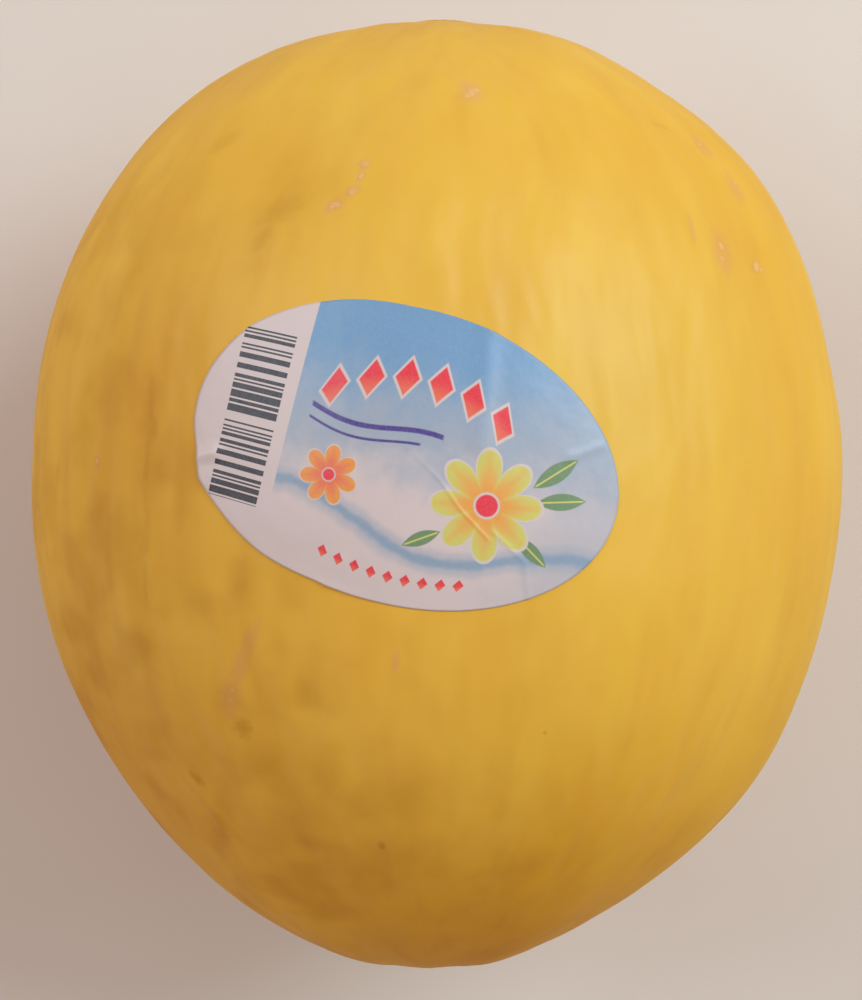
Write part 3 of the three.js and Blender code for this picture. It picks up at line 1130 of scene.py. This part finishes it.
# each fold: start and end in mm on the sheet, height in mm, half width in mm
FOLDS = [
    ((0.2, 1.8), (6.1, -1.4), 0.07, 0.28),
    ((6.1, -1.4), (10.3, -4.9), 0.11, 0.26),
    ((10.3, -4.9), (15.7, -8.2), 0.11, 0.26),
    ((15.9, -6.8), (21.8, -10.0), 0.10, 0.32),
    ((21.8, -10.0), (23.8, -14.8), 0.13, 0.4),
    ((-13.5, 16.5), (-6.0, -5.8), 0.09, 0.9),
    ((7.3, 20.5), (10.6, 5.0), 0.26, 1.8),
    ((-33.0, -8.4), (-28.5, -6.6), 0.40, 1.1),
    ((-6.0, -22.0), (-4.5, -17.0), 0.10, 1.0),
    ((28.0, 10.0), (24.0, 7.0), 0.10, 0.8),
]
# how far the cut edge strays from a true oval: angle in degrees, outward shift in mm
RIM = [
    (0, 0.0),
    (78, -0.15),
    (97, -0.40),
    (116, 0.0),
    (143, 0.42),
    (157, 0.05),
    (185, -0.15),
    (200, -0.38),
    (209, 0.95),
    (222, 0.55),
    (240, 0.55),
    (256, -0.2),
    (310, -0.18),
    (345, 0.0),
    (360, 0.0),
]


def fold_height(along, across):
    tallest = 0.0
    for (x0, y0), (x1, y1), height, width in FOLDS:
        dx, dy = x1 - x0, y1 - y0
        share = ((along - x0) * dx + (across - y0) * dy) / (dx * dx + dy * dy)
        share = min(max(share, 0.0), 1.0)
        apart = math.hypot(along - x0 - share * dx, across - y0 - share * dy) / width
        tallest = max(tallest, height * math.exp(-apart * apart))
    return tallest


def rim_shift(share, angle):
    """How much further out a point lies than on a true oval, as a share of its reach."""
    degrees, shifts = zip(*RIM)
    shift = np.interp(math.degrees(angle), degrees, shifts)
    reach = math.hypot(STICKER_HALF_LENGTH * math.cos(angle), STICKER_HALF_WIDTH * math.sin(angle))
    return shift / reach * share**6


# The outer part of the sheet has come off the skin: everywhere a little, more in waves, and
# most at one kink. The start is a share of the way out, the lifts are in mm, and the kink
# has its angle and reach in degrees.
LIFT_START = 0.88
EVEN_LIFT, WAVE_LIFT, KINK_LIFT = 0.02, 0.12, 0.25
KINK_ANGLE, KINK_REACH = 206, 7


def rim_lift(share, angle):
    """How far the rim has come off the skin: share is 1 at the very edge."""
    near_rim = max(0.0, (share - LIFT_START) / (1 - LIFT_START)) ** 2
    waves = 0.5 + 0.5 * math.sin(7 * angle + 1.0) * math.sin(3 * angle + 0.4)
    kink = math.exp(-(((math.degrees(angle) - KINK_ANGLE) / KINK_REACH) ** 2))
    return near_rim * (EVEN_LIFT + WAVE_LIFT * waves**3 + KINK_LIFT * kink)


print(len(FOLDS), "folds")


# %% Walk the sheet over the skin
def walked_sheet(rings, sectors):
    middle = fruit_to_frame(fruit_direction(*STICKER_PLACE))
    fruit_axis = fruit_to_frame(Vector((0, 1, 0)))
    east = fruit_axis.cross(middle).normalized()
    north = middle.cross(east)
    lean = math.radians(STICKER_TURN)
    lengthwise = east * math.cos(lean) + north * math.sin(lean)
    crosswise = middle.cross(lengthwise)
    radius = (skin_toward(middle)[0] - MIDDLE).length
    tops, bottoms, flat = [], [], []
    for ring in range(rings + 1):
        # The rings lie closer together toward the rim, where the sheet lifts.
        share = (ring / rings) ** 0.85
        for sector in range(1 if ring == 0 else sectors):
            angle = math.tau * sector / sectors
            stretch = share * (1.0 + rim_shift(share, angle))
            along = STICKER_HALF_LENGTH * stretch * math.cos(angle)
            across = STICKER_HALF_WIDTH * stretch * math.sin(angle)
            distance = math.hypot(along, across) * MM
            sine = math.sin(distance / radius) / distance if distance else 0.0
            direction = middle * math.cos(distance / radius)
            direction += (lengthwise * along + crosswise * across) * MM * sine
            spot, normal = skin_toward(direction.normalized())
            height = GLUE + fold_height(along, across) + rim_lift(share, angle)
            bottoms.append(spot + normal * height * MM)
            tops.append(spot + normal * (height + PAPER_THICKNESS) * MM)
            flat.append((along, across))
    return tops, bottoms, flat


SHEET_RINGS, SHEET_SECTORS = 72, 420
sheet_tops, sheet_bottoms, sheet_flat = walked_sheet(SHEET_RINGS, SHEET_SECTORS)
print("the sheet has", len(sheet_tops), "points on its face")


# %% Join the face, the back and the rim
def close_sheet(name, tops, bottoms, flat, rings, sectors):
    count = len(tops)

    def index(ring, sector):
        return 0 if ring == 0 else 1 + (ring - 1) * sectors + sector % sectors

    faces = []
    for ring in range(rings):
        for sector in range(sectors):
            a, b = index(ring, sector), index(ring, sector + 1)
            c, d = index(ring + 1, sector + 1), index(ring + 1, sector)
            top = (a, d, c) if ring == 0 else (a, d, c, b)
            faces.append(top)
            faces.append(tuple(count + corner for corner in reversed(top)))
    for sector in range(sectors):
        a, b = index(rings, sector), index(rings, sector + 1)
        faces.append((a, count + a, count + b, b))
    mesh = bpy.data.meshes.new(name)
    mesh.from_pydata(tops + bottoms, [], faces)
    sheet = mesh.attributes.new("sheet", "FLOAT_VECTOR", "POINT")
    values = []
    for side in (1.0, -1.0):
        for along, across in flat:
            values.extend((along, across, side))
    sheet.data.foreach_set("vector", values)
    mesh.shade_smooth()
    return mesh


sheet_points = (sheet_tops, sheet_bottoms, sheet_flat)
sticker_sheet = close_sheet("sticker_sheet", *sheet_points, SHEET_RINGS, SHEET_SECTORS)
sticker = add_object("sticker_paper", sticker_sheet)
print("the sticker has", triangle_count(sticker), "triangles")

# %% [markdown]
# ## The print
# Fruit stickers carry a plain end panel with bars, and a cheerful picture. The print here
# is a plain one made for this melon: bars that stand for nothing, a sky-blue field that
# fades to a blushing white, two flowers, two rows of red lozenges and two violet lines. It
# could be painted as a picture and wrapped on, but a picture blurs when it is seen close.
# Drawn with formulas on the sheet's own millimetres, every edge is sharp at any distance.

# %% The paper and its coordinates
paper_material, paper, paper_shader = new_material("sticker_print", Metallic=0.0)
sheet_place = paper.attribute("sheet")
sheet_x, sheet_y, sheet_side = paper.separate(sheet_place)
smudge = paper.noise(sheet_place, 0.22, 2.0, 0.6)
ink_grain = paper.noise(sheet_place, 3.5, 1.0, 0.6)


def shape(distance, soft=0.18):
    """1 inside a printed shape, where its distance is below zero."""
    return paper.step(distance, soft, -soft)


def printed(below, mask, ink):
    return mixed(paper, mask, below, ink)


def turned(centre_x, centre_y, degrees):
    """The sheet's coordinates from a centre, turned."""
    cos, sin = math.cos(math.radians(degrees)), math.sin(math.radians(degrees))
    dx, dy = sheet_x - centre_x, sheet_y - centre_y
    return dx * cos + dy * sin, dy * cos - dx * sin


BLUSH_WHITE = (0.70, 0.565, 0.54, 1.0)
SKY = (0.17, 0.335, 0.54, 1.0)
PALE_SKY = (0.38, 0.42, 0.50, 1.0)
POOL_BLUE = (0.22, 0.34, 0.47, 1.0)
RED_INK = (0.84, 0.035, 0.06, 1.0)
CORAL_INK = (0.86, 0.16, 0.09, 1.0)
VIOLET_INK = (0.075, 0.05, 0.26, 1.0)
ORANGE_INK = (0.88, 0.33, 0.055, 1.0)
LIME_INK = (0.66, 0.60, 0.14, 1.0)
LEAF_INK = (0.16, 0.27, 0.13, 1.0)
BAR_INK = (0.030, 0.024, 0.034, 1.0)
print("inks are mixed")

# %% The field: blue above, pale below, with a ribbon of pool blue
drift = (smudge - 0.5) * 12.0
height_on_field = sheet_y - sheet_x * 0.12 + drift
print_colour = mixed(paper, paper.step(height_on_field, -7.0, 4.0), BLUSH_WHITE, PALE_SKY)
print_colour = mixed(paper, paper.step(height_on_field, 2.0, 17.0), print_colour, SKY)
haze = paper.step(sheet_x + drift, 12.0, 30.0, 0.0, 0.5)
print_colour = mixed(paper, haze, print_colour, PALE_SKY)
ribbon = sheet_y + 10.5 + paper.math("SINE", sheet_x * 0.13 + 0.6) * 3.0
ribbon_edge = paper.math("ABSOLUTE", ribbon + (smudge - 0.5) * 2.0)
print_colour = printed(print_colour, paper.step(ribbon_edge, 2.6, 1.2, 0.0, 0.55), PALE_SKY)
print_colour = printed(print_colour, paper.step(ribbon_edge, 1.3, 0.2, 0.0, 0.8), POOL_BLUE)
print("the field is printed")


# %% The flowers
def print_flower(colour, centre_x, centre_y, reach, petals, turn, tip, heart):
    x, y = turned(centre_x, centre_y, turn)
    distance = paper.length(x, y) / reach
    angle = paper.math("ARCTAN2", y, x)
    lobe = paper.math("ABSOLUTE", paper.math("COSINE", angle * (petals / 2)))
    rim = 0.50 + 0.50 * paper.math("POWER", lobe, 0.6)
    soft = 0.12 / reach
    colour = printed(colour, shape(distance - rim, soft), BLUSH_WHITE)
    colour = printed(colour, shape(distance - rim + 0.05, soft), tip)
    vein = paper.step(lobe, 0.93, 1.0) * paper.step(distance, 0.3, 0.8)
    glow = paper.step(distance / rim, 0.95, 0.25) + vein * 0.25
    colour = printed(colour, glow * shape(distance - rim + 0.08, soft) * 0.9, heart)
    colour = printed(colour, shape(distance - 0.23, soft), BLUSH_WHITE)
    return printed(colour, shape(distance - 0.19, soft), RED_INK)


def print_leaf(colour, centre_x, centre_y, turn, length):
    x, y = turned(centre_x, centre_y, turn)
    bow = paper.math("ABSOLUTE", y) - length * 0.17 * (1.0 - (x * x) / (length * length / 4))
    colour = printed(colour, shape(bow, 0.1), LEAF_INK)
    rib = shape(paper.math("ABSOLUTE", y) - 0.12, 0.08) * shape(bow + 0.2, 0.1)
    return printed(colour, rib, LIME_INK)


# centre in mm, turn in degrees, length in mm
LEAVES = [
    (22.6, 4.0, 48, 8.0),
    (24.6, 0.2, 18, 7.6),
    (22.2, -8.2, -30, 6.5),
    (6.0, -10.6, 215, 6.0),
]
# centre and reach in mm, count of petals, turn in degrees, ink of the tips and of the heart
FLOWERS = [
    (14.0, -3.4, 8.6, 8, 12, LIME_INK, ORANGE_INK),
    (-9.6, -5.2, 4.6, 7, 40, ORANGE_INK, CORAL_INK),
]
for leaf in LEAVES:
    print_colour = print_leaf(print_colour, *leaf)
for flower in FLOWERS:
    print_colour = print_flower(print_colour, *flower)
print("the flowers are printed")


# %% Rows of red lozenges, and the violet lines
def print_row(colour, start, pitch, count, line, tall, wide):
    """Equal lozenges side by side: each is the same shape in its own stretch of the row."""
    step = (sheet_x - start) / pitch
    x = (paper.math("FRACT", step) - 0.5) * pitch
    y = sheet_y - line
    lozenge = paper.math("ABSOLUTE", x) / wide + paper.math("ABSOLUTE", y) / tall - 1.0
    within = paper.math("GREATER_THAN", step, 0.0) * paper.math("LESS_THAN", step, float(count))
    colour = printed(colour, shape(lozenge - 0.24, 0.08) * within, BLUSH_WHITE)
    lit = mixed(paper, paper.step(y, 0.3 * tall, -0.8 * tall), RED_INK, CORAL_INK)
    return mixed(paper, shape(lozenge, 0.08) * within, colour, lit)


# the level, middle and bend of the row's curve, then its start, pitch and count, then half
# the height and half the width of a lozenge: all in mm
LOZENGE_ROWS = [
    (11.6, 1.5, -0.022, -14.6, 5.0, 6, 2.7, 1.75),
    (-17.4, 2.0, 0.012, -9.0, 2.6, 9, 0.95, 0.8),
]
for level, middle, bend, start, pitch, count, tall, wide in LOZENGE_ROWS:
    curve = level + (sheet_x - middle) * (sheet_x - middle) * bend
    print_colour = print_row(print_colour, start, pitch, count, curve, tall, wide)
wave = sheet_y - 3.6 + sheet_x * 0.06 - paper.math("SINE", sheet_x * 0.24 + 0.5) * 1.1
# each violet line: its gap from the wave, half its thickness, and where it ends, in mm
VIOLET_LINES = [(0.0, 0.38, 5.0), (-1.9, 0.2, 2.0)]
for gap, thickness, end in VIOLET_LINES:
    line = shape(paper.math("ABSOLUTE", wave - gap) - thickness, 0.1)
    within = paper.step(sheet_x, -14.9, -14.4) * paper.step(sheet_x, end + 0.5, end)
    print_colour = printed(print_colour, line * within, VIOLET_INK)
print("lozenges and lines are printed")

# %% The end panel with its bars
print_colour = printed(print_colour, paper.step(sheet_x, -17.4, -17.55), BLUSH_WHITE)
THINNEST_BAR = 0.27
LIGHT_SHARE = 0.48
step_number = paper.math("FLOOR", sheet_y / THINNEST_BAR)
# A sine with a large factor scatters the steps between 0 and 1, like a throw of dice.
lot = paper.math("FRACT", paper.math("SINE", step_number * 2.399) * 7.13)
bar = paper.math("GREATER_THAN", lot, LIGHT_SHARE)
bar_box = shape(paper.math("ABSOLUTE", sheet_x + 23.7) - 4.2, 0.06)
bar_box = bar_box * shape(paper.math("ABSOLUTE", sheet_y - 0.2) - 13.0, 0.06)
print_colour = printed(print_colour, bar * bar_box, BAR_INK)
print("the bars are printed")

# %% The paper's own look
PAPER_BACK = (0.62, 0.58, 0.55, 1.0)
print_colour = mixed(paper, (ink_grain - 0.5) * 0.2 + 0.04, print_colour, BLUSH_WHITE)
print_colour = mixed(paper, paper.step(sheet_side, 0.2, -0.2), print_colour, PAPER_BACK)
paper.plug(paper_shader.inputs["Base Color"], print_colour)
paper_roughness = 0.34 + (smudge - 0.5) * 0.12 + (ink_grain - 0.5) * 0.05
paper.plug(paper_shader.inputs["Roughness"], paper_roughness)
waviness = paper.noise(sheet_place, 0.11, 3.0, 0.5)
paper_relief = (waviness - 0.5) * 0.24 + (ink_grain - 0.5) * 0.004
paper_bump = paper.node("ShaderNodeBump", {"Distance": MM, "Height": paper_relief})
paper.plug(paper_shader.inputs["Normal"], paper.out(paper_bump))
sticker.data.materials.append(paper_material)
print("the print takes", len(paper.tree.nodes), "nodes")

# %% [markdown]
# ## The table and the light
# The melon lies on a plain pale table. A large soft window stands to the right and a little
# behind, with a weaker one below it, and a third window is far off to the left. The rest
# of the light is the room's own. A plain floor and soft light are enough, because the
# fruit itself is the subject.


# %% The table
TABLE_DARK = (0.74, 0.64, 0.57, 1.0)
TABLE_LIGHT = (0.77, 0.67, 0.60, 1.0)
TABLE_FAR_PAINTED_LIGHT = (0.88, 0.83, 0.80, 1.0)
TABLE_RADIUS = 3.0
TABLE_SECTORS = 96


def table_top():
    material, board, shader = new_material("table_paint", Metallic=0.0, Roughness=0.6)
    place = board.out(board.node("ShaderNodeTexCoord"), "Object")
    mottle = board.noise(place, 9.0, 2.0, 0.6)
    shade = mixed(board, board.step(mottle, 0.3, 0.7), TABLE_DARK, TABLE_LIGHT)
    # Far from the fruit the table is painted paler: painted light that makes up for the lamps'
    # light falling off with distance.
    far_painted_light = board.step(board.vector("LENGTH", place), 0.5, 2.2)
    shade = mixed(board, far_painted_light, shade, TABLE_FAR_PAINTED_LIGHT)
    board.plug(shader.inputs["Base Color"], shade)
    points = [(0.0, 0.0, 0.0)]
    for sector in range(TABLE_SECTORS):
        angle = math.tau * sector / TABLE_SECTORS
        points.append((TABLE_RADIUS * math.cos(angle), TABLE_RADIUS * math.sin(angle), 0.0))
    faces = [(0, 1 + near, 1 + (near + 1) % TABLE_SECTORS) for near in range(TABLE_SECTORS)]
    mesh = bpy.data.meshes.new("table_top")
    mesh.from_pydata(points, [], faces)
    mesh.materials.append(material)
    return add_object("table_top", mesh)


table = table_top()
table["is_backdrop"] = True
print("the table is in place")


# %% The lamps and the room
LAMP_DISTANCE = 1.2
# name, turn from +X toward +Y and lift from level in degrees, size in m, power in W, colour
LAMPS = [
    ("window", 33, 44, 0.7, 8.0, (0.79, 0.91, 1.0)),
    ("low_window", 16, 32, 0.7, 2.8, (0.50, 0.95, 1.0)),
    ("far_window", 158, 42, 0.9, 4.4, (0.68, 0.88, 1.0)),
]
ROOM_TONE = (1.0, 0.78, 0.68, 1.0)


def soft_lamp(name, turn, lift, size, power, colour):
    """A disc of light that faces the fruit."""
    lamp = bpy.data.lights.new(name, "AREA")
    lamp.shape = "DISK"
    lamp.size = size
    lamp.energy = power
    lamp.color = colour
    holder = bpy.data.objects.new(name, lamp)
    scene.collection.objects.link(holder)
    turn, lift = math.radians(turn), math.radians(lift)
    level = math.cos(lift)
    toward = Vector((level * math.cos(turn), level * math.sin(turn), math.sin(lift)))
    holder.location = MIDDLE + toward * LAMP_DISTANCE
    holder.rotation_euler = (-toward).to_track_quat("-Z", "Y").to_euler()


for lamp_row in LAMPS:
    soft_lamp(*lamp_row)
room = bpy.data.worlds.new("room")
room.use_nodes = True
room_board = Board(room.node_tree)
outward = room_board.out(room_board.node("ShaderNodeTexCoord"), "Generated")
_, toward_far_wall, overhead = room_board.separate(outward)
above_horizon = room_board.step(overhead, 0.0, 0.35)
background = room.node_tree.nodes["Background"]
background.inputs["Color"].default_value = ROOM_TONE
# The room is brighter above the table's level, and brightest toward the far wall.
room_strength = 0.40 + (0.05 + 0.12 * toward_far_wall) * above_horizon
room_board.plug(background.inputs["Strength"], room_strength)
scene.world = room
scene.view_settings.view_transform = "Standard"
print("three windows and the room's light")

# %% The camera
# It looks straight down, as a phone is held, from a point that is a little off the middle
# of the fruit. The shift from the middle is in mm.
EYE_SHIFT = Vector((-1.05, -1.23, 400.0))
eye = bpy.data.cameras.new("eye")
eye.lens = 82.0
eye.sensor_width = 36.0
camera = bpy.data.objects.new("eye", eye)
camera.location = MIDDLE + EYE_SHIFT * MM
scene.collection.objects.link(camera)
scene.camera = camera
print("the camera is", round(camera.location.z, 3), "m over the table")

# %% [markdown]
# ## Handing over
# Every piece rides on the frame's one body, and carries its own named material. The frame's
# plain melon and sticker are hidden, since the dressed pieces take their place. The two boxes
# that the last line shows say how closely the dressed melon keeps to the frame: only the dry
# stub stands out, by less than a millimetre.

# %% Put each piece on the frame's body, and hide the frame's plain parts
FRUIT_PIECES = (melon, flecks, blossom_scar, stalk_stub)
PIECES = (*FRUIT_PIECES, sticker)
for piece in PIECES:
    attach(piece, "root")
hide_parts("melon")
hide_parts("sticker")

boxes = {"frame": FRAME_BOX, "dressed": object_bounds()}
{name: [list(corner) for corner in box] for name, box in boxes.items()}
print("pieces:", [piece.name for piece in PIECES])
